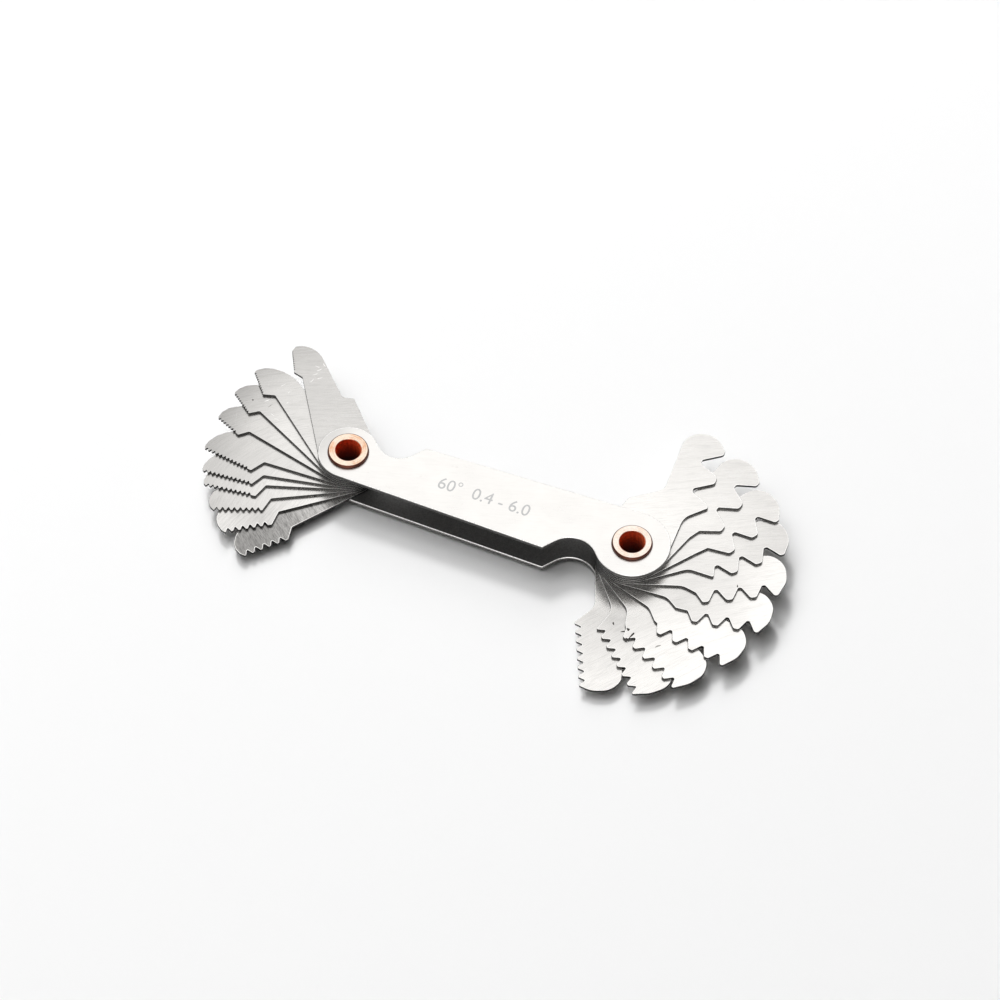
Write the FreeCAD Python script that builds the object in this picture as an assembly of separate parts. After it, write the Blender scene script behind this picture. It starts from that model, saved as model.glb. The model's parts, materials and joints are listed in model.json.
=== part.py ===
import FreeCAD, Part
import math
import os

# Thread pitch gauge: a pocket handle made of two plates held by two hollow
# rivets, with ten toothed leaves turning on each rivet.
# Units mm.  X runs along the handle from the fine end (-X) to the coarse end
# (+X), Y across it, Z up through the stack.  Origin: on the surface the gauge
# lies on, under the middle of the outline of the gauge with its leaves fanned.

# ---------------------------------------------------------------- dimensions
PIVOT = 51.0          # distance between the two rivet axes
HANDLE_X = -0.95      # handle middle, from the middle of the fanned outline
HANDLE_Y = 0.10
R_END_FINE = 5.15     # handle end radius round the fine rivet
R_END_COARSE = 6.45   # handle end radius round the coarse rivet
T_PLATE = 0.8         # handle plate thickness
T_LEAF = 0.5          # leaf thickness
PITCH_Z = 0.53        # leaf spacing in the stack (0.03 running gap)
N_LEAF = 10           # leaves per end
END_GAP = 0.015       # gap between the top plate and the first leaf
R_BORE = 2.15         # bore of the hollow rivets
R_BARREL = 2.5        # outer radius of the rivet barrel
R_LEAF_HOLE = 2.55    # hole in the leaves (0.05 running clearance)
H_FLANGE = 0.65       # height of the rolled rivet flange
R_FLANGE_FINE = 3.45  # rivet flange radius, fine end
R_FLANGE_COARSE = 3.4  # rivet flange radius, coarse end
R_RING_COARSE = 6.1   # ring of the coarse leaves round the rivet
R_RING_FINE = 4.95    # ring of the fine leaves round the rivet
NOTCH_FINE = (4.0, 1.75)    # notch radius, depth line (fine end, far edge)
NOTCH_COARSE = (4.5, 2.35)  # notch radius, depth line (coarse end, near edge)
NOTCH_EXIT = 38.0     # angle at which the notch arc leaves to the corner
DEPTH = 0.5413        # cut depth of the 60 degree form, per unit of pitch
ROOT_FLAT = 0.125     # flat at the bottom of each gullet, per unit of pitch

Z_BP0 = H_FLANGE
Z_BP1 = Z_BP0 + T_PLATE
Z_TP0 = Z_BP1 + N_LEAF * PITCH_Z
Z_TP1 = Z_TP0 + T_PLATE
Z_TOP = Z_TP1 + H_FLANGE

# Coarse leaves, top of the stack first.
# pitch, u of the gullet nearest the tip, crest line v, whole gullets,
# direction of the tooth row (degrees), nose shift, neck points (u, v, radius),
# where a part gullet beside the neck begins
COARSE = [
    (6.00, 19.67, -10.22, 2, 95.7, 0.10,
     [(7.9, -6.85, 3.2), (10.75, -10.22, 0.5)], None),
    (5.50, 20.15, -10.42, 2, 76.9, 0.20, [(7.2, -6.75, 3.0)], (9.25, -7.40)),
    (5.00, 20.45, -10.62, 2, 59.6, 0.10, [(7.9, -7.15, 3.0)], (10.2, -7.55)),
    (4.50, 20.75, -10.60, 3, 44.8, 0.15, [(7.2, -6.90, 2.5)],
     ("cut", (7.9, -7.45), (10.1, -9.75))),
    (4.00, 20.97, -10.95, 3, 27.7, -0.15,
     [(7.6, -7.35, 3.0), (9.6, -8.95, 1.0), (10.45, -10.95, 0.4)], None),
    (3.50, 21.40, -10.80, 3, 9.5, -0.20,
     [(7.3, -7.00, 2.5), (9.15, -8.75, 0.35)], (11.15, -8.9)),
    (3.00, 21.95, -10.85, 4, -9.7, -0.20,
     [(7.5, -7.20, 2.5), (9.6, -9.00, 0.30)], (10.25, -9.2)),
    (2.50, 22.50, -10.95, 5, -29.9, -0.20,
     [(7.3, -6.95, 2.5), (9.3, -9.10, 0.30)], (10.1, -9.55)),
    (2.00, 22.85, -10.95, 7, -44.55, -0.20,
     [(7.6, -7.00, 2.8), (9.85, -10.95, 0.20)], None),
    (1.75, 22.90, -10.15, 7, -65.9, -0.20,
     [(8.5, -6.60, 2.6), (11.35, -10.15, 0.2)], None),
]

# Fine leaves, top of the stack first.
# pitch, direction of the leaf (degrees), corner where the neck ends, start of
# the tooth row, tip of the tooth row, points of the rounded nose
FINE = [
    (0.40, 134.79, (17.85, -1.02), (19.4, -1.95), (23.62, -0.62),
     [(24.3, 0.4), (23.9, 1.6), (23.0, 2.64), (21.8, 3.33), (20.6, 3.63)]),
    (0.45, 157.14, (17.85, 0.20), (19.5, -1.10), (23.72, 1.06),
     [(23.9, 1.5), (23.7, 2.1), (23.0, 3.15), (21.8, 4.05), (20.3, 4.65),
      (18.8, 4.92), (17.0, 4.88)]),
    (0.50, 168.83, (18.06, 0.00), (19.4, -1.40), (23.62, 0.66),
     [(23.8, 1.0), (23.6, 2.0), (22.9, 3.2), (21.8, 4.1), (20.6, 4.65),
      (18.9, 4.85)]),
    (0.60, 180.00, (17.90, -0.72), (19.4, -2.00), (23.8, -0.06),
     [(23.95, 0.3), (23.8, 1.3), (23.0, 2.5), (21.8, 3.35), (20.6, 3.9),
      (18.9, 4.2)]),
    (0.70, 193.54, (14.10, -2.00), (16.1, -3.95), (24.5, -0.62),
     [(24.6, -0.1), (24.06, 1.05), (23.0, 2.25), (21.5, 3.15), (20.2, 3.55)]),
    (0.75, 203.22, (14.40, -1.90), (16.4, -3.60), (24.5, -0.78),
     [(24.72, -0.2), (24.4, 0.7), (23.5, 1.75), (22.3, 2.6), (20.6, 3.4)]),
    (0.80, 211.34, (14.40, -1.60), (16.5, -3.45), (24.45, 0.18),
     [(24.7, 0.6), (24.45, 1.5), (23.75, 2.5), (22.6, 3.3), (20.9, 4.0)]),
    (1.00, 220.72, (14.40, -1.72), (16.55, -3.50), (24.25, -0.68),
     [(24.55, 0.0), (24.6, 0.9), (24.2, 1.9), (23.2, 2.8), (21.3, 3.6)]),
    (1.25, 230.16, (14.45, -2.00), (16.65, -3.75), (24.3, -1.33),
     [(24.62, -0.6), (24.68, 0.6), (24.3, 1.9), (23.3, 2.9), (21.5, 3.7)]),
    (1.50, 244.48, (14.70, -1.95), (16.85, -3.35), (24.3, -0.85),
     [(24.68, 0.0), (24.62, 1.2), (24.05, 2.3), (22.9, 3.2), (21.2, 3.9)]),
]


# ------------------------------------------------------------------- outlines
def tangent(px, py, radius, side):
    """Point where a line from (px, py) touches a circle about the origin."""
    a = math.atan2(py, px) + side * math.acos(radius / math.hypot(px, py))
    return radius * math.cos(a), radius * math.sin(a)


def cross_point(p, q, r, s):
    """Intersection of the lines p-q and r-s."""
    d = (q[0] - p[0]) * (s[1] - r[1]) - (q[1] - p[1]) * (s[0] - r[0])
    t = ((r[0] - p[0]) * (s[1] - r[1]) - (r[1] - p[1]) * (s[0] - r[0])) / d
    return p[0] + t * (q[0] - p[0]), p[1] + t * (q[1] - p[1])


def rounded(points):
    """Straight runs joined by tangent arcs; each point carries its radius."""
    n = len(points)
    geo = []
    for i in range(n):
        x, y, r = points[i]
        if i in (0, n - 1) or r <= 1e-6:
            geo.append([x, y, 0.0, 0.0, None])
            continue
        ax, ay = points[i - 1][0] - x, points[i - 1][1] - y
        bx, by = points[i + 1][0] - x, points[i + 1][1] - y
        la, lb = math.hypot(ax, ay), math.hypot(bx, by)
        ax, ay, bx, by = ax / la, ay / la, bx / lb, by / lb
        th = math.acos(max(-1.0, min(1.0, ax * bx + ay * by)))
        if abs(math.pi - th) < 1e-3:
            geo.append([x, y, 0.0, 0.0, None])
        else:
            geo.append([x, y, r, r / math.tan(th / 2), (ax, ay, bx, by, th)])
    # an arc that would overrun its run of edge is made smaller
    for _ in range(3):
        for i in range(n - 1):
            run = math.hypot(geo[i + 1][0] - geo[i][0], geo[i + 1][1] - geo[i][1])
            used = geo[i][3] + geo[i + 1][3]
            if used > 0.97 * run:
                k = 0.97 * run / used
                for g in (geo[i], geo[i + 1]):
                    g[2] *= k
                    g[3] *= k
    segs = []
    cur = (points[0][0], points[0][1])
    for x, y, r, t, d in geo[1:]:
        if d is None or r < 1e-4:
            p = (x, y)
            if math.hypot(p[0] - cur[0], p[1] - cur[1]) > 1e-5:
                segs.append((cur, None, p))
                cur = p
            continue
        ax, ay, bx, by, th = d
        p = (x + ax * t, y + ay * t)
        q = (x + bx * t, y + by * t)
        mx, my = ax + bx, ay + by
        lm = math.hypot(mx, my)
        dist = r / math.sin(th / 2) - r
        mid = (x + mx / lm * dist, y + my / lm * dist)
        if math.hypot(p[0] - cur[0], p[1] - cur[1]) > 1e-5:
            segs.append((cur, None, p))
        segs.append((p, mid, q))
        cur = q
    return segs


def ring_arc(b, a, radius):
    """Arc of the ring from b round the back to a, counter-clockwise."""
    t0, t1 = math.atan2(b[1], b[0]), math.atan2(a[1], a[0])
    while t1 < t0:
        t1 += 2 * math.pi
    m = (t0 + t1) / 2
    return b, (radius * math.cos(m), radius * math.sin(m)), a


def coarse_outline(pitch, u0, vc, count, shift, neck, first):
    h, rw, fl = DEPTH * pitch, ROOT_FLAT * pitch / 2, 0.3125 * pitch
    rc = 0.13 * pitch
    rr = 0.075 * pitch
    a = tangent(neck[0][0], neck[0][1], R_RING_COARSE, -1)
    pts = [(a[0], a[1], 0)] + list(neck)
    if first is not None and first[0] == "cut":
        u = u0 - (count - 1) * pitch
        x = cross_point(first[1], first[2], (u - rw, vc + h), (u - rw - fl, vc))
        pts.append((x[0], x[1], 0.3))
    elif first is not None:
        u = u0 - count * pitch
        pts += [(first[0], first[1], rr), (u + rw + fl, vc, rc)]
    for k in range(count - 1, -1, -1):
        u = u0 - k * pitch
        if k < count - 1 or first is None or first[0] != "cut":
            pts.append((u - rw - fl, vc, rc))
        pts += [(u - rw, vc + h, rr), (u + rw, vc + h, rr), (u + rw + fl, vc, rc)]
    pts.append((u0 + 0.375 * pitch + max(0.16 * pitch, 0.3), vc,
                min(0.14 * pitch, 0.4)))
    pts += [(25.15 + shift, -8.35, 4.0), (25.32 + shift, -5.2, 3.3),
            (23.5 + shift, -3.0, 2.8), (12.55, -2.3, 2.2), (9.35, 3.05, 0.9)]
    b = tangent(9.35, 3.05, R_RING_COARSE, 1)
    pts.append((b[0], b[1], 0))
    return rounded(pts) + [ring_arc(b, a, R_RING_COARSE)]


def fine_outline(pitch, c1, c2, tip, nose):
    h, rw, fl = DEPTH * pitch, ROOT_FLAT * pitch / 2, 0.3125 * pitch
    rc, rr = 0.10 * pitch, 0.07 * pitch
    a = tangent(c1[0], c1[1], R_RING_FINE, -1)
    length = math.hypot(tip[0] - c2[0], tip[1] - c2[1])
    ex = ((tip[0] - c2[0]) / length, (tip[1] - c2[1]) / length)
    ey = (-ex[1], ex[0])

    def at(u, v, r):
        return c2[0] + u * ex[0] + v * ey[0], c2[1] + u * ex[1] + v * ey[1], r

    u0 = length - 0.14 * pitch - 0.375 * pitch
    count = int((u0 - 0.375 * pitch - 0.10) / pitch) + 1
    start = u0 - (count - 1) * pitch - 0.375 * pitch
    pts = [(a[0], a[1], 0), (c1[0], c1[1], 0.4),
           (c2[0], c2[1], min(0.15, 0.45 * start))]
    for k in range(count - 1, -1, -1):
        u = u0 - k * pitch
        pts += [at(u - rw - fl, 0, rc), at(u - rw, h, rr), at(u + rw, h, rr),
                at(u + rw + fl, 0, rc)]
    pts.append((tip[0], tip[1], min(0.12 * pitch, 0.12)))
    pts.append((nose[0][0], nose[0][1], 0.35))
    pts += [(x, y, 1.5) for x, y in nose[1:]]
    pts += [(11.35, 3.6, 0.6), (10.25, 5.3, 0.25)]
    b = tangent(10.25, 5.3, R_RING_FINE, 1)
    pts.append((b[0], b[1], 0))
    return rounded(pts) + [ring_arc(b, a, R_RING_FINE)]


def polar(c, r, deg):
    return (c[0] + r * math.cos(math.radians(deg)),
            c[1] + r * math.sin(math.radians(deg)))


def plate_outline():
    """Tapered handle with a round end at each rivet and one notch per edge."""
    half = PIVOT / 2
    g = math.asin((R_END_COARSE - R_END_FINE) / PIVOT)
    nx, ny = -math.sin(g), math.cos(g)
    tl = (-half + R_END_FINE * nx, R_END_FINE * ny)
    tr = (half + R_END_COARSE * nx, R_END_COARSE * ny)
    bl, br = (tl[0], -tl[1]), (tr[0], -tr[1])

    def notch(end_radius, spec):
        radius, depth = spec
        cy = depth + radius
        dx = math.sqrt((end_radius + radius) ** 2 - cy * cy)
        k = end_radius / (end_radius + radius)
        return radius, dx, cy, (dx * k, cy * k)

    rl, dxl, cyl, jl = notch(R_END_FINE, NOTCH_FINE)
    rr, dxr, cyr, jr = notch(R_END_COARSE, NOTCH_COARSE)
    cl, cr = (-half + dxl, cyl), (half - dxr, -cyr)
    jl, jr = (-half + jl[0], jl[1]), (half - jr[0], -jr[1])
    el = polar(cl, rl, -NOTCH_EXIT)
    er = polar(cr, rr, 180 - NOTCH_EXIT)
    d = (math.cos(math.radians(90 - NOTCH_EXIT)),
         math.sin(math.radians(90 - NOTCH_EXIT)))
    kl = cross_point(el, (el[0] + d[0], el[1] + d[1]), tl, tr)
    kr = cross_point(er, (er[0] - d[0], er[1] - d[1]), bl, br)

    segs = rounded([(bl[0], bl[1], 0), (kr[0], kr[1], 0.35), (er[0], er[1], 0)])
    j = math.degrees(math.atan2(jr[1] - cr[1], jr[0] - cr[0]))
    segs.append((er, polar(cr, rr, (180 - NOTCH_EXIT + j) / 2), jr))
    a0 = math.degrees(math.atan2(jr[1], jr[0] - half))
    a1 = math.degrees(math.atan2(tr[1], tr[0] - half))
    segs.append((jr, polar((half, 0), R_END_COARSE, (a0 + a1) / 2), tr))
    segs += rounded([(tr[0], tr[1], 0), (kl[0], kl[1], 0.35), (el[0], el[1], 0)])
    j = math.degrees(math.atan2(jl[1] - cl[1], jl[0] - cl[0]))
    segs.append((el, polar(cl, rl, (-NOTCH_EXIT + j) / 2), jl))
    a0 = math.degrees(math.atan2(jl[1], jl[0] + half))
    a1 = math.degrees(math.atan2(bl[1], bl[0] + half)) + 360
    segs.append((jl, polar((-half, 0), R_END_FINE, (a0 + a1) / 2), bl))
    return segs


# --------------------------------------------------------------------- solids
def slab(segs, z0, thickness, place=lambda x, y: (x, y)):
    """Flat solid of the given outline."""
    def v(p):
        x, y = place(p[0], p[1])
        return FreeCAD.Vector(x, y, z0)

    edges = []
    for p, m, q in segs:
        if m is None:
            edges.append(Part.LineSegment(v(p), v(q)).toShape())
        else:
            edges.append(Part.Arc(v(p), v(m), v(q)).toShape())
    wire = Part.Wire(Part.__sortEdges__(edges))
    return Part.Face(wire).extrude(FreeCAD.Vector(0, 0, thickness))


def drill(shape, x, y, radius, z0, height):
    tool = Part.makeCylinder(radius, height, FreeCAD.Vector(x, y, z0))
    return shape.cut(tool)


def turned(angle_deg, mirrored, px):
    c, s = math.cos(math.radians(angle_deg)), math.sin(math.radians(angle_deg))

    def place(x, y):
        if mirrored:
            y = -y
        return px + c * x - s * y, s * x + c * y
    return place


def plate(z0):
    solid = slab(plate_outline(), z0, T_PLATE)
    for x in (-PIVOT / 2, PIVOT / 2):
        solid = drill(solid, x, 0, R_BARREL, z0 - 1, T_PLATE + 2)
    return solid


def rivet(px, r_flange):
    """Hollow rivet with a flange rolled over at both ends."""
    ro, ri, lip, roll = r_flange, R_BORE, 0.28, 0.45
    k = math.sqrt(0.5)
    v = lambda r, z: FreeCAD.Vector(r, 0, z)
    seq = [
        (v(ri, roll), None, v(ri, Z_TOP - roll)),
        (v(ri, Z_TOP - roll), v(ri + roll * (1 - k), Z_TOP - roll * (1 - k)),
         v(ri + roll, Z_TOP)),
        (v(ri + roll, Z_TOP), None, v(ro - lip, Z_TOP)),
        (v(ro - lip, Z_TOP), v(ro - lip * (1 - k), Z_TOP - lip * (1 - k)),
         v(ro, Z_TOP - lip)),
        (v(ro, Z_TOP - lip), None, v(ro, Z_TP1)),
        (v(ro, Z_TP1), None, v(R_BARREL, Z_TP1)),
        (v(R_BARREL, Z_TP1), None, v(R_BARREL, Z_BP0)),
        (v(R_BARREL, Z_BP0), None, v(ro, Z_BP0)),
        (v(ro, Z_BP0), None, v(ro, lip)),
        (v(ro, lip), v(ro - lip * (1 - k), lip * (1 - k)), v(ro - lip, 0)),
        (v(ro - lip, 0), None, v(ri + roll, 0)),
        (v(ri + roll, 0), v(ri + roll * (1 - k), roll * (1 - k)), v(ri, roll)),
    ]
    edges = []
    for p, m, q in seq:
        if m is None:
            edges.append(Part.LineSegment(p, q).toShape())
        else:
            edges.append(Part.Arc(p, m, q).toShape())
    face = Part.Face(Part.Wire(edges))
    solid = face.revolve(FreeCAD.Vector(0, 0, 0), FreeCAD.Vector(0, 0, 1), 360)
    solid.translate(FreeCAD.Vector(px, 0, 0))
    return solid


def pitch_name(pitch):
    return ("%.2f" % pitch).replace(".", "_")


def leaf_base_z(index):
    return Z_TP0 - END_GAP - index * PITCH_Z - T_LEAF


os.makedirs("parts", exist_ok=True)
half = PIVOT / 2
nodes = {
    "plate_bottom": plate(Z_BP0),
    "plate_top": plate(Z_TP0),
    "rivet_fine": rivet(-half, R_FLANGE_FINE),
    "rivet_coarse": rivet(half, R_FLANGE_COARSE),
}
for i, (pitch, u0, vc, count, angle, shift, neck, first) in enumerate(COARSE):
    z = leaf_base_z(i)
    body = slab(coarse_outline(pitch, u0, vc, count, shift, neck, first), z,
                T_LEAF, turned(angle, False, half))
    nodes["leaf_coarse_" + pitch_name(pitch)] = drill(
        body, half, 0, R_LEAF_HOLE, z - 1, T_LEAF + 2)
for i, (pitch, angle, c1, c2, tip, nose) in enumerate(FINE):
    z = leaf_base_z(i)
    body = slab(fine_outline(pitch, c1, c2, tip, nose), z, T_LEAF,
                turned(angle, True, -half))
    nodes["leaf_fine_" + pitch_name(pitch)] = drill(
        body, -half, 0, R_LEAF_HOLE, z - 1, T_LEAF + 2)

for name, shape in nodes.items():
    if shape.ShapeType != "Solid":
        shape = shape.Solids[0]
    shape.translate(FreeCAD.Vector(HANDLE_X, HANDLE_Y, 0))
    shape.exportStep("parts/" + name + ".step")
    b = shape.BoundBox
    print("%-20s valid %s vol %8.2f  x %.2f..%.2f y %.2f..%.2f z %.3f..%.3f" % (
        name, shape.isValid(), shape.Volume, b.XMin, b.XMax, b.YMin, b.YMax,
        b.ZMin, b.ZMax))
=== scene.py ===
import json
import math

import bmesh
import bpy
from mathutils import Matrix, Vector


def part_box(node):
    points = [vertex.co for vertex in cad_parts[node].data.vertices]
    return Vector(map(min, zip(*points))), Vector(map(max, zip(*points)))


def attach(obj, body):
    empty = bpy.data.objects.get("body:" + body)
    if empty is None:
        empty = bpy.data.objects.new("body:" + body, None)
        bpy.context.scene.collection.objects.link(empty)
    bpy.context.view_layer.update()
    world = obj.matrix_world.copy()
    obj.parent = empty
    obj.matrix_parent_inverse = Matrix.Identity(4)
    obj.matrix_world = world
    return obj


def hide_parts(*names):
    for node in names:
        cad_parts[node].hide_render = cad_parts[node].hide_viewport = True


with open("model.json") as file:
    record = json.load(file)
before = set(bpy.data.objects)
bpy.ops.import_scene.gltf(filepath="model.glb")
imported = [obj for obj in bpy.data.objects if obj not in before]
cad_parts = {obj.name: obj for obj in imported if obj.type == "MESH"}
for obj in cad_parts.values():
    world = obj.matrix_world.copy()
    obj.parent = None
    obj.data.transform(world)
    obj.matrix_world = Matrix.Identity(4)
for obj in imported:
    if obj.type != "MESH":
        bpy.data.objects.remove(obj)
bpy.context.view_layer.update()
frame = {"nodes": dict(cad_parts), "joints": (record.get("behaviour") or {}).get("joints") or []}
MM = 0.001
scene = bpy.context.scene
joints = {j["child"]: j for j in frame["joints"]}

PLATE_LO, PLATE_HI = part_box("plate_top")
PLATE_TOP_Z = PLATE_HI.z
FINE = Vector(joints["leaf_fine_0_40"]["pos_m"])
COARSE = Vector(joints["leaf_coarse_6_00"]["pos_m"])
MID = (FINE + COARSE) / 2


# ------------------------------------------------------------------ node help
class Nodes:
    """Small helper for building a material's node tree."""

    def __init__(self, name):
        self.mat = bpy.data.materials.new(name)
        self.mat.use_nodes = True
        self.t = self.mat.node_tree
        self.t.nodes.clear()
        self.out = self.t.nodes.new("ShaderNodeOutputMaterial")
        self.bsdf = self.t.nodes.new("ShaderNodeBsdfPrincipled")
        self.link(self.bsdf.outputs[0], self.out.inputs["Surface"])

    def link(self, a, b):
        self.t.links.new(a, b)

    def new(self, kind, **inputs):
        n = self.t.nodes.new(kind)
        for k, v in inputs.items():
            n.inputs[k.replace("_", " ")].default_value = v
        return n

    def coords(self, angle=0.0, scale=(1, 1, 1), offset=(0, 0, 0)):
        tc = self.t.nodes.new("ShaderNodeTexCoord")
        first = self.t.nodes.new("ShaderNodeMapping")
        first.inputs["Rotation"].default_value = (0, 0, -angle)
        first.inputs["Location"].default_value = offset
        self.link(tc.outputs["Object"], first.inputs["Vector"])
        second = self.t.nodes.new("ShaderNodeMapping")
        second.inputs["Scale"].default_value = scale
        self.link(first.outputs[0], second.inputs["Vector"])
        return second.outputs[0]

    def noise(self, vector, scale, detail=2.0, rough=0.5, distortion=0.0):
        n = self.t.nodes.new("ShaderNodeTexNoise")
        n.inputs["Scale"].default_value = scale
        n.inputs["Detail"].default_value = detail
        n.inputs["Roughness"].default_value = rough
        n.inputs["Distortion"].default_value = distortion
        self.link(vector, n.inputs["Vector"])
        return n.outputs["Fac"]

    def ramp(self, fac, stops):
        n = self.t.nodes.new("ShaderNodeValToRGB")
        e = n.color_ramp.elements
        while len(e) < len(stops):
            e.new(0.5)
        for el, (p, v) in zip(e, stops):
            el.position = p
            el.color = (v, v, v, 1) if isinstance(v, float) else (*v, 1)
        self.link(fac, n.inputs["Fac"])
        return n.outputs["Color"]

    def math(self, op, a, b):
        n = self.t.nodes.new("ShaderNodeMath")
        n.operation = op
        for i, v in enumerate((a, b)):
            if isinstance(v, (int, float)):
                n.inputs[i].default_value = v
            else:
                self.link(v, n.inputs[i])
        return n.outputs[0]

    def mix(self, fac, a, b, blend="MIX"):
        n = self.t.nodes.new("ShaderNodeMix")
        n.data_type = "RGBA"
        n.blend_type = blend
        for sock, v in ((n.inputs[0], fac), (n.inputs[6], a), (n.inputs[7], b)):
            if isinstance(v, (int, float)):
                sock.default_value = v
            elif isinstance(v, tuple):
                sock.default_value = (*v, 1)
            else:
                self.link(v, sock)
        return n.outputs[2]

    def bump(self, height, strength, distance):
        n = self.t.nodes.new("ShaderNodeBump")
        n.inputs["Strength"].default_value = strength
        n.inputs["Distance"].default_value = distance
        self.link(height, n.inputs["Height"])
        self.link(n.outputs[0], self.bsdf.inputs["Normal"])


WARM = (1.0, 0.978, 0.947)


def tint(v):
    return tuple(v * w for w in WARM)


def steel(name, rough, grain, contrast, seed, tones, centre, toward=None, marks=0.5, bump=0.12,
          line_size=(420, 4200)):
    """Ground steel. grain: direction of the grinding lines in the row frame.
    contrast: how strongly the lines show. tones: (mm, tone) away from centre,
    or along the direction toward. marks: stains and handling marks."""
    n = Nodes(name)
    off = (seed * 0.0137, seed * 0.0071, 0)
    # grinding lines about 0.2 mm wide, finer ones in them, broader bands under them
    line = n.noise(n.coords(grain, (line_size[0], line_size[1], line_size[0]), off), 1.0, 2.0, 0.6, 0.5)
    fine = n.noise(n.coords(grain, (500, 13000, 500), off), 1.0, 2.0, 0.6)
    band = n.noise(n.coords(grain, (120, 1300, 120), off), 1.0, 2.0, 0.5)
    # cloudy patches a few mm across
    cloud = n.noise(n.coords(0.0, (1, 1, 1), off), 170.0, 3.0, 0.55, 0.4)
    # short cross scratches
    scr = n.noise(n.coords(grain + 1.1, (160, 5200, 160), off), 1.0, 1.0, 0.5)
    scratch = n.ramp(scr, [(0.70, 0.0), (0.76, 1.0)])
    # small stains
    stain = n.ramp(n.noise(n.coords(0.0, (1, 1, 1), (off[0] + 0.3, off[1], 0)), 520.0, 2.0, 0.6),
                   [(0.70, 0.0), (0.80, 1.0)])

    # painted reflection: the tone over the length of the piece stands in for how bright the steel reflects there,
    # with some real change of polish in it
    place = n.t.nodes.new("ShaderNodeMapping")
    place.inputs["Location"].default_value = (-centre.x, -centre.y, 0)
    place.inputs["Scale"].default_value = (1, 1, 0)
    tc = n.t.nodes.new("ShaderNodeTexCoord")
    n.link(tc.outputs["Object"], place.inputs["Vector"])
    far = n.t.nodes.new("ShaderNodeVectorMath")
    n.link(place.outputs[0], far.inputs[0])
    if toward is None:
        far.operation = "LENGTH"
    else:
        far.operation = "DOT_PRODUCT"
        far.inputs[1].default_value = toward
    lo, hi = tones[0][0], tones[-1][0]
    span = n.t.nodes.new("ShaderNodeMapRange")
    span.inputs["From Min"].default_value = lo * MM
    span.inputs["From Max"].default_value = hi * MM
    n.link(far.outputs["Value"], span.inputs["Value"])
    base = n.ramp(span.outputs["Result"], [((at - lo) / (hi - lo), tint(v)) for at, v in tones])

    lines = n.math("ADD", n.math("MULTIPLY", line, 0.65), n.math("MULTIPLY", band, 0.35))
    shade = n.ramp(lines, [(0.30, 1.0 - contrast), (0.50, 1.0), (0.70, 1.0 + contrast * 0.6)])
    col = n.mix(1.0, base, shade, "MULTIPLY")
    col = n.mix(1.0, col, n.ramp(cloud, [(0.3, 0.955), (0.7, 1.02)]), "MULTIPLY")
    col = n.mix(n.math("MULTIPLY", scratch, 0.12 * marks), col, (0.98, 0.98, 0.97))
    mid = tones[len(tones) // 2][1]
    col = n.mix(n.math("MULTIPLY", stain, 0.30 * marks), col, (mid * 0.60, mid * 0.53, mid * 0.44))
    n.link(col, n.bsdf.inputs["Base Color"])
    n.bsdf.inputs["Metallic"].default_value = 1.0
    r = n.math("ADD", rough - 0.06, n.math("MULTIPLY", lines, 0.12))
    r = n.math("ADD", r, n.math("MULTIPLY", n.math("SUBTRACT", cloud, 0.5), 0.10))
    n.link(r, n.bsdf.inputs["Roughness"])
    h = n.math("SUBTRACT", n.math("ADD", line, n.math("MULTIPLY", fine, 0.5)),
               n.math("MULTIPLY", scratch, 0.5 * marks))
    n.bump(h, bump, 0.00002)
    return n.mat


def cut_edge(name, tone, rough, seed):
    """Stamped and ground edge: short lines across the thickness."""
    n = Nodes(name)
    lines = n.noise(n.coords(0.3, (2600, 2600, 160), (seed * 0.01, 0, 0)), 1.6, 2.0, 0.6)
    col = n.mix(1.0, (tone, tone * 0.985, tone * 0.96),
                n.ramp(lines, [(0.3, 0.72), (0.7, 1.12)]), "MULTIPLY")
    n.link(col, n.bsdf.inputs["Base Color"])
    n.bsdf.inputs["Metallic"].default_value = 1.0
    n.link(n.math("ADD", rough, n.math("MULTIPLY", lines, 0.15)), n.bsdf.inputs["Roughness"])
    n.bump(lines, 0.2, 0.00002)
    return n.mat


def ring_coords(n, centre, around, out, up):
    """Round a vertical axis: (angle, radius, height), each times its scale."""
    tc = n.t.nodes.new("ShaderNodeTexCoord")
    place = n.t.nodes.new("ShaderNodeMapping")
    place.inputs["Location"].default_value = (-centre.x, -centre.y, 0)
    n.link(tc.outputs["Object"], place.inputs["Vector"])
    sep = n.t.nodes.new("ShaderNodeSeparateXYZ")
    n.link(place.outputs[0], sep.inputs[0])
    rad = n.math("SQRT", n.math("ADD", n.math("MULTIPLY", sep.outputs[0], sep.outputs[0]),
                                n.math("MULTIPLY", sep.outputs[1], sep.outputs[1])), 0)
    # the angle's jump falls on the left, where both sides of it are blended
    ang = n.math("ARCTAN2", sep.outputs[1], sep.outputs[0])
    com = n.t.nodes.new("ShaderNodeCombineXYZ")
    n.link(n.math("MULTIPLY", n.math("ABSOLUTE", ang, 0), around), com.inputs[0])
    n.link(n.math("MULTIPLY", rad, out), com.inputs[1])
    n.link(n.math("MULTIPLY", sep.outputs[2], up), com.inputs[2])
    return com.outputs[0], sep.outputs[2]


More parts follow.
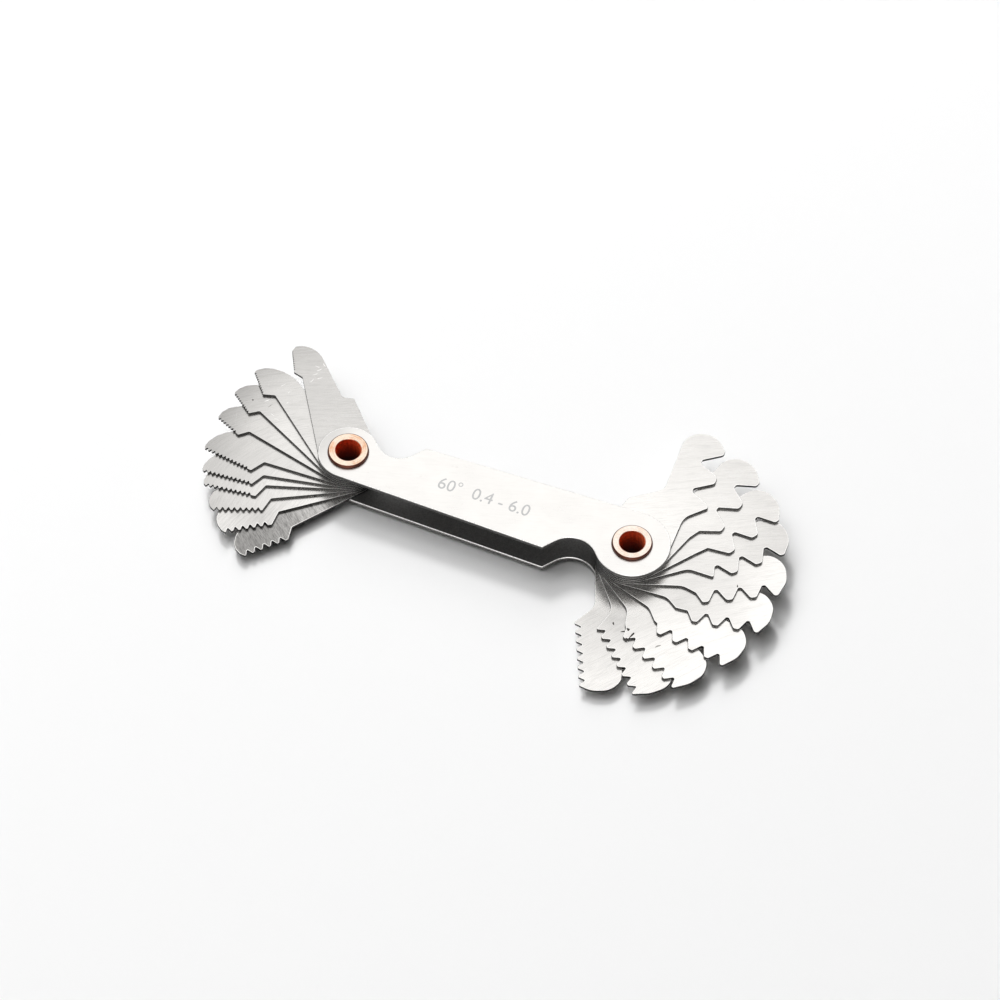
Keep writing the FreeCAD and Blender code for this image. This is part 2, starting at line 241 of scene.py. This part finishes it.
def copper_lip(name, centre, light, deep, seed):
    """The rolled lip: turned rings, light where it is rubbed, deeper in patches."""
    n = Nodes(name)
    round_, z = ring_coords(n, centre, 1.6, 5200, 2600)
    ring = n.noise(round_, 1.0, 3.0, 0.6)
    off = (seed * 0.013, seed * 0.007, 0)
    cloud = n.noise(n.coords(0.0, (1, 1, 1), off), 330.0, 3.0, 0.6, 0.8)
    fleck = n.noise(n.coords(0.0, (1, 1, 1), off), 2600.0, 2.0, 0.6)
    patch = n.math("ADD", n.math("MULTIPLY", cloud, 0.62), n.math("MULTIPLY", ring, 0.38))
    col = n.mix(n.ramp(patch, [(0.46, 0.0), (0.62, 1.0)]), light, deep)
    col = n.mix(1.0, col, n.ramp(fleck, [(0.3, 0.93), (0.7, 1.05)]), "MULTIPLY")
    n.link(col, n.bsdf.inputs["Base Color"])
    n.bsdf.inputs["Metallic"].default_value = 1.0
    n.link(n.math("ADD", n.math("MULTIPLY", ring, 0.20), 0.16), n.bsdf.inputs["Roughness"])
    n.bump(n.math("ADD", ring, n.math("MULTIPLY", fleck, 0.4)), 0.16, 0.00002)
    return n.mat


def copper_bore(name, centre, top, deep, seed):
    """The bore: dull red copper with streaks down the wall, darkened towards the bottom as painted shade."""
    n = Nodes(name)
    round_, z = ring_coords(n, centre, 7.0, 600, 420)
    streak = n.noise(round_, 1.0, 3.0, 0.6)
    fleck = n.noise(n.coords(0.0, (1, 1, 1), (seed * 0.01, 0, 0)), 1900.0, 3.0, 0.65)
    # painted shade: from the bright top colour at the mouth down to the near-black deep colour low in the bore
    span = n.t.nodes.new("ShaderNodeMapRange")
    span.inputs["From Min"].default_value = 2.6 * MM
    span.inputs["From Max"].default_value = 7.4 * MM
    n.link(z, span.inputs["Value"])
    col = n.ramp(span.outputs["Result"], [(0.0, deep), (0.45, tuple(a * 0.25 + b * 0.75 for a, b in zip(top, deep))),
                                          (0.75, tuple(a * 0.6 + b * 0.4 for a, b in zip(top, deep))), (1.0, top)])
    col = n.mix(1.0, col, n.ramp(streak, [(0.3, 0.80), (0.7, 1.12)]), "MULTIPLY")
    col = n.mix(1.0, col, n.ramp(fleck, [(0.3, 0.70), (0.7, 1.25)]), "MULTIPLY")
    n.link(col, n.bsdf.inputs["Base Color"])
    n.bsdf.inputs["Metallic"].default_value = 0.0
    n.bsdf.inputs["Roughness"].default_value = 0.5
    n.bsdf.inputs["Specular IOR Level"].default_value = 0.12
    n.bump(n.math("ADD", streak, fleck), 0.25, 0.00003)
    return n.mat


def dull(name, colour, metallic, rough, scale):
    """A dull dark finish with a fine grain: for the nicks, and as painted shade on the flange sides and in the
    corner at the flange's foot.
    """
    n = Nodes(name)
    g = n.noise(n.coords(0.0, (1, 1, 1)), scale, 3.0, 0.6)
    col = n.mix(n.ramp(g, [(0.3, 0.0), (0.7, 1.0)]), tuple(c * 0.7 for c in colour), tuple(c * 1.2 for c in colour))
    n.link(col, n.bsdf.inputs["Base Color"])
    n.bsdf.inputs["Metallic"].default_value = metallic
    n.link(n.math("ADD", n.math("MULTIPLY", g, 0.15), rough), n.bsdf.inputs["Roughness"])
    n.bump(g, 0.15, 0.00002)
    return n.mat


def etched(name, tone):
    n = Nodes(name)
    g = n.noise(n.coords(0.0, (1, 1, 1)), 9000.0, 2.0, 0.7)
    n.link(n.ramp(g, [(0.3, tone * 0.85), (0.7, tone * 1.1)]), n.bsdf.inputs["Base Color"])
    n.bsdf.inputs["Metallic"].default_value = 0.6
    n.bsdf.inputs["Roughness"].default_value = 0.6
    return n.mat


# --------------------------------------------------------------------- pieces
FACE, EDGE, RIM, FACE_IN_PAINTED_SHADE = 0, 1, 2, 3


def link(name, me, body, nodes=()):
    ob = bpy.data.objects.new(name, me)
    scene.collection.objects.link(ob)
    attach(ob, body)
    if nodes:
        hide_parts(*nodes)
    return ob


def rim_data(flat, reach):
    """For each corner point of the flat faces: the way into the face, how far its
    rim may reach there, and the side (1 above, -1 under)."""
    after, inward, side = {}, {}, {}
    for f in flat:
        up = 1 if f.normal.z > 0 else -1
        for lp in f.loops:
            if any(g in flat for g in lp.edge.link_faces if g is not f):
                continue
            p, q = lp.vert, lp.link_loop_next.vert
            d = q.co - p.co
            after[p], side[p] = q, up
            inward[p] = Vector((-d.y, d.x, 0)).normalized() * up
    before = {q: p for p, q in after.items()}
    way, far = {}, {}
    for p in after:
        m = (inward[p] + inward[before[p]]).normalized()
        way[p] = m / max(m.dot(inward[p]), 0.75)
        far[p] = reach
    # no crossing on tight crests: shorten there, and taper back to the full reach
    for _ in range(80):
        tight = False
        for p, q in after.items():
            e = q.co - p.co
            if (e + way[q] * far[q] - way[p] * far[p]).dot(e) < 0.3 * e.length_squared:
                far[p] *= 0.85
                far[q] *= 0.85
                tight = True
        if not tight:
            break
    for _ in range(40):
        for p, q in after.items():
            step = 0.5 * (q.co - p.co).length
            far[p], far[q] = min(far[p], far[q] + step), min(far[q], far[p] + step)
    return way, far, side


def bevelled(node, body, mats, width, band=0.0, inner=0, worn_and_highlight=False):
    """The node's shape with its sharp rims rounded off. mats: face, cut edge, rim,
    and the inner face on the side (-1 under, 1 above) of inner, dark as painted
    shade. width: radius of the rounding. band: how far the bright rim, edge polish
    with a painted highlight, reaches onto the faces. worn: the rounding itself is
    bright too, with the same painted highlight."""
    me = frame["nodes"][node].data.copy()
    me.name = "m_" + node
    me.materials.clear()
    bm = bmesh.new()
    bm.from_mesh(me)
    bmesh.ops.remove_doubles(bm, verts=bm.verts, dist=1e-6)
    bmesh.ops.dissolve_limit(bm, angle_limit=math.radians(0.4), verts=bm.verts, edges=bm.edges)
    flat = set()
    for f in bm.faces:
        f.smooth = True
        f.material_index = FACE_IN_PAINTED_SHADE if f.normal.z * inner > 0.7 else (FACE if abs(f.normal.z) > 0.7 else EDGE)
        if abs(f.normal.z) > 0.7:
            flat.add(f)
    whole = width + max(band, 0.00001)
    way, far, side = rim_data(flat, whole)

    def key(v):
        return tuple(round(c * 1e7) for c in v.co)

    home = {key(v): v for v in way}
    was = {v: v.co.copy() for v in way}
    # how far inward and down: a quarter round in three facets, then the band
    places = [(0.0, width), (0.134 * width, 0.5 * width), (0.5 * width, 0.134 * width), (width, 0.0),
              (whole, 0.0)]
    points = []
    # the flat band takes the bright rim finish: a painted highlight along the rim
    for (into, down), mat in zip(places, (EDGE, RIM if worn_and_highlight else EDGE, RIM, RIM if band else FACE)):
        ring = bmesh.ops.inset_region(bm, faces=list(flat), thickness=0.0, use_boundary=True,
                                      use_even_offset=False)["faces"]
        outer = {v for f in ring for v in f.verts} - {v for f in flat for v in f.verts}
        points += [(v, home[key(v)], into, down) for v in outer]
        for f in ring:
            f.smooth = True
            f.material_index = mat
    points += [(v, home[key(v)], *places[-1]) for v in {v for f in flat for v in f.verts}]
    for v, h, into, down in points:
        s = far[h] / whole
        v.co = was[h] + way[h] * (into * s) - Vector((0, 0, side[h] * down * s))
    bm.normal_update()
    for e in bm.edges:
        e.smooth = not (len(e.link_faces) == 2 and e.calc_face_angle(0) > math.radians(36))
    bm.to_mesh(me)
    bm.free()
    for a in ("custom_normal", "sharp_face"):
        if a in me.attributes:
            me.attributes.remove(me.attributes[a])
    for m in mats:
        me.materials.append(m)
    return link("show_" + node, me, body, (node,))


def lathe(name, profile, centre, body, nodes, mats, steps=112):
    """Profile points (radius, z, material) in mm, closed, turned about a vertical
    axis. A point's material is that of the band from it to the next point."""
    bm = bmesh.new()
    rings = []
    for k in range(steps):
        a = 2 * math.pi * k / steps
        rings.append([bm.verts.new((centre.x + p[0] * MM * math.cos(a), centre.y + p[0] * MM * math.sin(a),
                                    p[1] * MM)) for p in profile])
    n = len(profile)
    for k in range(steps):
        a, b = rings[k], rings[(k + 1) % steps]
        for i in range(n):
            j = (i + 1) % n
            f = bm.faces.new((a[i], b[i], b[j], a[j]))
            f.smooth = True
            f.material_index = profile[i][2]
    bmesh.ops.recalc_face_normals(bm, faces=bm.faces)
    for e in bm.edges:
        e.smooth = not (len(e.link_faces) == 2 and e.calc_face_angle(0) > math.radians(35))
    me = bpy.data.meshes.new("m_" + name)
    bm.to_mesh(me)
    bm.free()
    for m in mats:
        me.materials.append(m)
    return link(name, me, body, nodes)


LIP, BORE, SIDE, FOOT_SHADE = 0, 1, 2, 3


def rolled_flange(r_bore, r_flange, r_barrel, z_in, z_out):
    """One rolled lip, from the bore up over the crown and down to the barrel."""
    s = 1 if z_out > z_in else -1
    roll, outer = 0.24, 0.27
    pts = []
    for k in range(7):
        a = math.radians(90 * k / 6)
        pts.append((r_bore + roll * (1 - math.cos(a)), z_out - s * roll * (1 - math.sin(a)), BORE if k < 3 else LIP))
    # the crown dips a little between the roll and the outer lip
    r0, r1 = r_bore + roll, r_flange - outer
    for k in range(1, 8):
        t = k / 8
        pts.append((r0 + (r1 - r0) * t, z_out - s * 0.035 * math.sin(math.pi * t) ** 2, LIP))
    for k in range(7):
        a = math.radians(90 * k / 6)
        pts.append((r1 + outer * math.sin(a), z_out - s * outer * (1 - math.cos(a)), LIP if k < 1 else SIDE))
    # a thin ring at the flange's foot, dark as painted shade in the corner on the plate
    pts.append((r_flange, z_in + s * 0.12, FOOT_SHADE))
    pts.append((r_flange - 0.05, z_in + s * 0.08, FOOT_SHADE))
    pts.append((r_flange - 0.05, z_in + s * 0.006, FOOT_SHADE))
    pts.append((r_flange + 0.07, z_in + s * 0.006, FOOT_SHADE))
    pts.append((r_flange + 0.07, z_in, FOOT_SHADE))
    pts.append((r_barrel, z_in, SIDE))
    return pts


def rivet(node, centre, r_flange, mats):
    lo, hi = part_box(node)
    top, bottom = hi.z / MM, lo.z / MM
    tp, bp = PLATE_TOP_Z / MM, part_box("plate_bottom")[0].z / MM
    up = rolled_flange(2.15, r_flange, 2.5, tp, top)
    down = rolled_flange(2.15, r_flange, 2.5, bp, bottom)
    # the lower half runs the other way, so its materials move on by one point
    back = [(r, z, down[i - 1][2]) for i, (r, z, _) in reversed(list(enumerate(down)))]
    prof = up + back[:-1] + [(back[-1][0], back[-1][1], BORE)]
    return lathe("show_" + node, prof, centre, "handle", (node,), mats)


def marks(node, spots, mats):
    """Small nicks, pits and rubbed strokes, and one painted shadow, set into the top
    of a leaf: (x, y, length, width, angle in degrees, material), in mm in the row frame."""
    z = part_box(node)[1].z
    bm = bmesh.new()
    for x, y, length, width, angle, mat in spots:
        c, s = math.cos(math.radians(angle)), math.sin(math.radians(angle))
        top, low = [], []
        for k in range(12):
            a = 2 * math.pi * k / 12
            wob = 1 + 0.2 * math.sin(3 * a + x)
            px, py = length / 2 * math.cos(a) * wob, width / 2 * math.sin(a) * wob
            for ring, dz in ((top, 0.004), (low, -0.03)):
                ring.append(bm.verts.new(((x + c * px - s * py) * MM, (y + s * px + c * py) * MM, z + dz * MM)))
        bm.faces.new(top).material_index = mat
        bm.faces.new(low[::-1]).material_index = mat
        for k in range(12):
            j = (k + 1) % 12
            bm.faces.new((low[k], low[j], top[j], top[k])).material_index = mat
    me = bpy.data.meshes.new("m_marks_" + node)
    bm.to_mesh(me)
    bm.free()
    for m in mats:
        me.materials.append(m)
    return link("marks_" + node, me, node)


# plates: painted reflection, greyer at the fine end and bright over the rest, with some real change of polish
FAR_LEFT = Vector((math.cos(math.radians(166)), math.sin(math.radians(166)), 0))
m_plate = steel("plate_face", 0.30, 0.30, 0.035, 1,
                [(-3.0, 0.805), (1.0, 0.77), (4.0, 0.64), (6.0, 0.60)], FINE, FAR_LEFT, marks=0.6, bump=0.10)
# plate edge walls: the top plate's is near black as painted shade; the bottom plate's is lighter
m_plate_e = cut_edge("plate_edge", 0.10, 0.34, 1)
m_plate_e2 = cut_edge("plate_edge_lighter", 0.30, 0.30, 4)
# faces inside the gap between the plates: dark as painted shade
m_plate_in_painted_shade = cut_edge("plate_inside_painted_shade", 0.16, 0.42, 2)
# bright rim: real edge polish, and a painted highlight where it runs onto the flat band
m_rim_polish_and_highlight = cut_edge("rim", 0.92, 0.22, 5)
for node, inner, edge in (("plate_top", -1, m_plate_e), ("plate_bottom", 1, m_plate_e2)):
    bevelled(node, "handle", (m_plate, edge, m_rim_polish_and_highlight, m_plate_in_painted_shade), 0.00015, 0.00006, inner,
             worn_and_highlight=True)

# leaves: grinding direction in the row frame, contrast of the grain, and the
# tone at 6, 12, 18 and 24 mm from the pivot; these tones are painted reflection,
# how bright each leaf reflects there, with some real difference of polish
LEAVES = {
    "leaf_coarse_6_00": (25, 0.09, (0.810, 0.769, 0.721, 0.691)),
    "leaf_coarse_5_50": (22, 0.09, (0.707, 0.749, 0.723, 0.664)),
    "leaf_coarse_5_00": (28, 0.10, (0.690, 0.729, 0.718, 0.665)),
    "leaf_coarse_4_50": (24, 0.10, (0.688, 0.693, 0.682, 0.625)),
    "leaf_coarse_4_00": (30, 0.09, (0.713, 0.682, 0.715, 0.799)),
    "leaf_coarse_3_50": (35, 0.09, (0.718, 0.634, 0.712, 0.828)),
    "leaf_coarse_3_00": (40, 0.08, (0.607, 0.749, 0.835, 0.829)),
    "leaf_coarse_2_50": (50, 0.10, (0.930, 0.673, 0.793, 0.834)),
    "leaf_coarse_2_00": (55, 0.13, (0.889, 0.552, 0.700, 0.775)),
    "leaf_coarse_1_75": (52, 0.12, (0.930, 0.596, 0.667, 0.753)),
    "leaf_fine_0_40": (22, 0.11, (0.584, 0.555, 0.557, 0.476)),
    "leaf_fine_0_45": (28, 0.12, (0.681, 0.641, 0.598, 0.426)),
    "leaf_fine_0_50": (35, 0.12, (0.705, 0.709, 0.573, 0.353)),
    "leaf_fine_0_60": (45, 0.12, (0.695, 0.674, 0.578, 0.340)),
    "leaf_fine_0_70": (60, 0.09, (0.656, 0.636, 0.556, 0.411)),
    "leaf_fine_0_75": (75, 0.10, (0.713, 0.687, 0.571, 0.505)),
    "leaf_fine_0_80": (80, 0.12, (0.741, 0.741, 0.639, 0.535)),
    "leaf_fine_1_00": (90, 0.12, (0.711, 0.696, 0.627, 0.540)),
    "leaf_fine_1_25": (75, 0.18, (0.818, 0.691, 0.568, 0.662)),
    "leaf_fine_1_50": (138, 0.62, (0.536, 0.389, 0.279, 0.268)),
}
# leaf edge walls: near black as painted shade, for the dark lines under each leaf's edge
m_edge_painted_shade = cut_edge("leaf_edge_painted_shade", 0.05, 0.34, 3)
for i, (node, (grain, contrast, tones)) in enumerate(LEAVES.items()):
    pivot = COARSE if "coarse" in node else FINE
    m = steel("face_" + node, 0.26, math.radians(grain), contrast, 3 + i, list(zip((6, 12, 18, 24), tones)),
              pivot, marks=0.6, bump=0.30 if contrast > 0.3 else 0.14,
              line_size=(900, 6200) if contrast > 0.3 else (420, 4200))
    pitch = float(node[-4:].replace("_", "."))
    width = 0.00006 if pitch >= 1.25 else (0.00004 if pitch >= 0.8 else 0.00003)
    band = 0.00008 if pitch >= 1.25 else 0.0
    bevelled(node, node, (m, m_edge_painted_shade, m_rim_polish_and_highlight), width, band)

# nicks and pits (0), faint ones (1) and rubbed strokes (2); the long dark stroke at (28.38, -13.57) on
# leaf_coarse_2_00 is a painted shadow of the corner of the leaf above, in the nick finish
MARKS = {
    # the longer stroke on this leaf is a painted shadow of the corner of the leaf above
    "leaf_coarse_2_00": ((26.15, -12.73, 0.60, 0.28, -57, 0), (28.38, -13.57, 1.23, 0.25, 21, 0)),
    "leaf_coarse_2_50": ((28.95, -13.25, 0.62, 0.45, -37, 0), (29.92, -14.09, 1.45, 0.31, 71, 0),
                         (29.28, -15.05, 0.40, 0.24, 29, 0), (34.66, -14.55, 1.05, 0.24, 44, 1)),
    "leaf_coarse_4_00": ((43.21, 0.35, 0.55, 0.20, -64, 0),),
    "leaf_fine_0_40": ((-38.24, 14.99, 0.76, 0.16, -3, 2), (-37.66, 14.49, 0.94, 0.17, 48, 2),
                       (-37.96, 13.42, 0.90, 0.15, 42, 2), (-36.96, 12.91, 0.98, 0.16, 40, 2),
                       (-37.99, 11.95, 0.99, 0.14, 69, 2), (-37.31, 15.75, 0.77, 0.16, -34, 2)),
    "leaf_fine_0_45": ((-40.82, 8.74, 1.04, 0.12, 58, 2), (-40.24, 6.57, 0.66, 0.13, 49, 2),
                       (-42.33, 9.71, 0.94, 0.12, 48, 2)),
    "leaf_fine_0_50": ((-46.14, 5.29, 0.30, 0.26, 53, 0), (-43.82, 6.07, 1.01, 0.16, 46, 2),
                       (-42.94, 5.19, 0.91, 0.10, 64, 1), (-41.91, 3.70, 0.73, 0.17, -13, 2),
                       (-40.86, 3.06, 1.00, 0.16, -10, 2)),
    "leaf_fine_1_25": ((-29.64, -7.27, 0.40, 0.20, -62, 0),),
}
# the dark nick finish also carries the painted shadow stroke
mark_mats = (dull("nick", (0.045, 0.040, 0.036), 0.3, 0.6, 4000.0), dull("nick_faint", (0.30, 0.29, 0.27), 0.6, 0.5, 4000.0),
             cut_edge("rubbed", 0.86, 0.26, 7))
for node, spots in MARKS.items():
    marks(node, spots, mark_mats)

# rivets
# flange sides: dark brown as painted shade; the thin ring at the flange's foot is painted shade in the corner on the
# plate
m_side_painted_shade = dull("flange_side_painted_shade", (0.11, 0.030, 0.016), 0.8, 0.30, 1500.0)
m_foot_shade = dull("flange_foot_painted_shade", (0.10, 0.045, 0.03), 0.2, 0.6, 2500.0)
rivet("rivet_fine", FINE, 3.45,
      (copper_lip("lip_fine", FINE, (0.84, 0.70, 0.57), (0.72, 0.40, 0.24), 1),
       copper_bore("bore_fine", FINE, (0.98, 0.18, 0.06), (0.05, 0.006, 0.003), 1), m_side_painted_shade, m_foot_shade))
rivet("rivet_coarse", COARSE, 3.40,
      (copper_lip("lip_coarse", COARSE, (0.84, 0.74, 0.66), (0.76, 0.58, 0.46), 4),
       copper_bore("bore_coarse", COARSE, (0.98, 0.22, 0.08), (0.08, 0.010, 0.005), 2), m_side_painted_shade, m_foot_shade))

# plain numbers etched in the middle of the top plate
m_etch = etched("etched_numbers", 0.50)
txt = bpy.data.curves.new("numbers", "FONT")
txt.body = "60°  0.4 - 6.0"
txt.size = 0.0030
txt.align_x = "CENTER"
txt.align_y = "CENTER"
txt.resolution_u = 4
txt.extrude = 0.0001
tmp = bpy.data.objects.new("numbers_tmp", txt)
scene.collection.objects.link(tmp)
bpy.context.view_layer.update()
me = bpy.data.meshes.new_from_object(tmp.evaluated_get(bpy.context.evaluated_depsgraph_get()))
bpy.data.objects.remove(tmp)
xs = [v.co.x for v in me.vertices]
ys = [v.co.y for v in me.vertices]
k = 0.0163 / (max(xs) - min(xs))
cx, cy = (max(xs) + min(xs)) / 2, (max(ys) + min(ys)) / 2
for v in me.vertices:
    v.co = Vector(((v.co.x - cx) * k + MID.x - 0.85 * MM, (v.co.y - cy) * k * 1.05 + MID.y - 0.1 * MM,
                   PLATE_TOP_Z + (0.004 if v.co.z > 0 else -0.03) * MM))
me.materials.clear()
me.materials.append(m_etch)
link("etched_numbers", me, "handle")

# ---------------------------------------------------------------------- stage
n = Nodes("floor_paper")
n.bsdf.inputs["Base Color"].default_value = (0.90, 0.90, 0.90, 1)
n.bsdf.inputs["Roughness"].default_value = 0.9
n.bsdf.inputs["Specular IOR Level"].default_value = 0.1
me = bpy.data.meshes.new("floor")
me.from_pydata([(-3, -3, 0), (3, -3, 0), (3, 3, 0), (-3, 3, 0)], [], [(0, 1, 2, 3)])
me.materials.append(n.mat)
floor = bpy.data.objects.new("floor", me)
floor.location.z = -0.00002
scene.collection.objects.link(floor)

# --------------------------------------------------------------------- camera
# ground frame: x to the right of the picture, y away from the camera, with its
# origin under the picture's middle; TURN and SHIFT place the handle in it
TURN = math.radians(-21.3167)
SHIFT = Vector((-1.7802, 0.4775)) * MM
ELEV = math.radians(56.0)
DIST = 0.872
LOOK_Z = 0.0075


def ground(x, y, z):
    """A point of the ground frame, in the row frame."""
    dx, dy = x - SHIFT.x, y - SHIFT.y
    c, s = math.cos(TURN), math.sin(TURN)
    return Vector((c * dx + s * dy + MID.x, -s * dx + c * dy + MID.y, z))


cam_data = bpy.data.cameras.new("cam")
cam_data.sensor_width = 36.0
cam_data.lens = 5.212 * 36.0
cam = bpy.data.objects.new("cam", cam_data)
scene.collection.objects.link(cam)
eye = ground(0, -DIST * math.cos(ELEV), LOOK_Z + DIST * math.sin(ELEV))
aim = ground(0, 0, LOOK_Z)
cam.location = eye
cam.rotation_mode = "QUATERNION"
cam.rotation_quaternion = (aim - eye).to_track_quat("-Z", "Y")
scene.camera = cam


# --------------------------------------------------------------------- lights
# name, azimuth, elevation, size at 2 m, share of the light on the floor; all of
# them stand on the far side, so the soft shadows lie towards the camera
LAMPS = (("key", 14, 51, 0.36, 0.31), ("left", 45, 60, 1.2, 0.32), ("back", 0, 35, 1.0, 0.14),
         ("overhead", 0, 89, 1.4, 0.165), ("side", 90, 60, 1.2, 0.11), ("low_side", 90, 35, 1.0, 0.04),
         ("back_high", 0, 60, 1.2, 0.09))
SKY = ((-1.0, 0.16), (0.0, 0.26), (0.45, 0.40), (0.72, 0.66), (0.88, 0.95), (1.0, 1.0))


def area(name, azimuth, elevation, distance, size, radiance):
    """Azimuth is from the picture's far side, positive to the left."""
    a, e = math.radians(azimuth), math.radians(elevation)
    p = ground(-distance * math.cos(e) * math.sin(a), distance * math.cos(e) * math.cos(a),
               distance * math.sin(e))
    d = bpy.data.lights.new(name, "AREA")
    d.shape = "RECTANGLE"
    d.size, d.size_y = size
    d.energy = radiance * math.pi * size[0] * size[1]
    o = bpy.data.objects.new(name, d)
    o.location = p
    o.rotation_mode = "QUATERNION"
    o.rotation_quaternion = (aim - p).to_track_quat("-Z", "Y")
    scene.collection.objects.link(o)
    return o


# the lamps light the floor; the steel shows only the pale ceiling
for name, azimuth, elevation, size, share in LAMPS:
    lamp = area(name, azimuth, elevation, 2.0, (size, size),
                share * math.pi / (size * size / 4 * math.sin(math.radians(elevation))))
    lamp.visible_glossy = False

# pale ceiling: bright overhead and on the far side, dim on the camera's side
world = bpy.data.worlds.new("studio")
world.use_nodes = True
wt = world.node_tree
bg = wt.nodes["Background"]
tc = wt.nodes.new("ShaderNodeTexCoord")
dot = wt.nodes.new("ShaderNodeVectorMath")
dot.operation = "DOT_PRODUCT"
up = (ground(0.25, math.cos(math.radians(62)), 0) - ground(0, 0, 0)) + Vector((0, 0, math.sin(math.radians(62))))
dot.inputs[1].default_value = up.normalized()
wt.links.new(tc.outputs["Generated"], dot.inputs[0])
half = wt.nodes.new("ShaderNodeMapRange")
half.inputs["From Min"].default_value = -1.0
half.inputs["From Max"].default_value = 1.0
wt.links.new(dot.outputs["Value"], half.inputs["Value"])
sky = wt.nodes.new("ShaderNodeValToRGB")
els = sky.color_ramp.elements
while len(els) < len(SKY):
    els.new(0.5)
for el, (at, v) in zip(els, SKY):
    el.position = (at + 1) / 2
    el.color = (v, v, v, 1)
wt.links.new(half.outputs["Result"], sky.inputs["Fac"])
near = wt.nodes.new("ShaderNodeVectorMath")
near.operation = "DOT_PRODUCT"
low = (ground(-0.1, -math.cos(math.radians(36)), 0) - ground(0, 0, 0)) + Vector((0, 0, math.sin(math.radians(36))))
near.inputs[1].default_value = low.normalized()
wt.links.new(tc.outputs["Generated"], near.inputs[0])
box = wt.nodes.new("ShaderNodeMapRange")
box.inputs["From Min"].default_value = 0.82
box.inputs["From Max"].default_value = 0.93
box.inputs["To Max"].default_value = 1.5
wt.links.new(near.outputs["Value"], box.inputs["Value"])
both = wt.nodes.new("ShaderNodeMix")
both.data_type = "RGBA"
both.blend_type = "ADD"
both.inputs[0].default_value = 1.0
wt.links.new(sky.outputs["Color"], both.inputs[6])
wt.links.new(box.outputs["Result"], both.inputs[7])
wt.links.new(both.outputs[2], bg.inputs["Color"])
bg.inputs["Strength"].default_value = 1.33
scene.world = world
world.cycles_visibility.diffuse = False
scene.view_settings.view_transform = "Standard"
scene.view_settings.look = "None"
